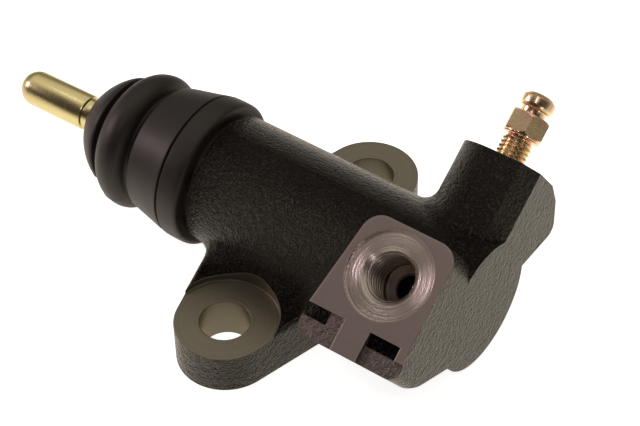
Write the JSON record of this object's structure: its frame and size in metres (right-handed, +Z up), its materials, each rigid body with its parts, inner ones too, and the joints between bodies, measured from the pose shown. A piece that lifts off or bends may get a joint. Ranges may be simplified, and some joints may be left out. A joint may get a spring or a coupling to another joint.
{
  "type": "clutch slave cylinder",
  "caption": "Hydraulic clutch slave cylinder: cast barrel on a two-bolt flange, side inlet, bleeder screw, rubber dust boot and sprung pushrod that pushes a release fork.",
  "frame": {"origin": "centre of the two-bolt pattern on the flange's mounting face", "axes": "+X along the barrel towards its closed end, the pushrod towards -X; Y through both mounting holes; +Z up from the mounting face"},
  "size_m": [0.1281, 0.0779, 0.049],
  "materials": {
    "body_casting": "black paint over a sand-cast skin, bare machined seats",
    "boot_rubber": "matt moulded rubber",
    "rod_plating": "yellow zinc plate",
    "piston_alloy": "turned",
    "seal_rubber": "smooth",
    "inner_steel": "plain",
    "screw_plating": "yellow zinc plate"
  },
  "bodies": {
    "housing": {"cylinder_body": "body_casting", "dust_boot": "boot_rubber", "return_spring": "inner_steel", "retaining_ring": "inner_steel"},
    "piston_group": {"piston": "piston_alloy", "piston_cup": "seal_rubber", "spring_seat": "inner_steel"},
    "rod": {"pushrod": "rod_plating"},
    "bleeder": {"bleeder_screw": "screw_plating"}
  },
  "joints": [
    {"name": "piston_slide", "type": "slide", "parent": "housing", "child": "piston_group", "axis": [1, 0, 0], "range_m": [0, 0.014], "stiffness_N_per_m": 350, "springref_m": -0.02, "deforming": ["return_spring", "dust_boot"]},
    {"name": "pushrod_swivel", "type": "hinge", "parent": "piston_group", "child": "rod", "pos_m": [-0.0125, 0, 0.02], "axis": [0, 1, 0], "range_deg": [-1.5, 4.5], "stiffness_Nm_per_rad": 1.2, "deforming": ["dust_boot"]},
    {"name": "bleeder_turn", "type": "hinge", "parent": "housing", "child": "bleeder", "pos_m": [0.03795, 0.02451, 0.03729], "axis": [0, 0.8171, 0.5764], "range_deg": [0, 270]}
  ]
}
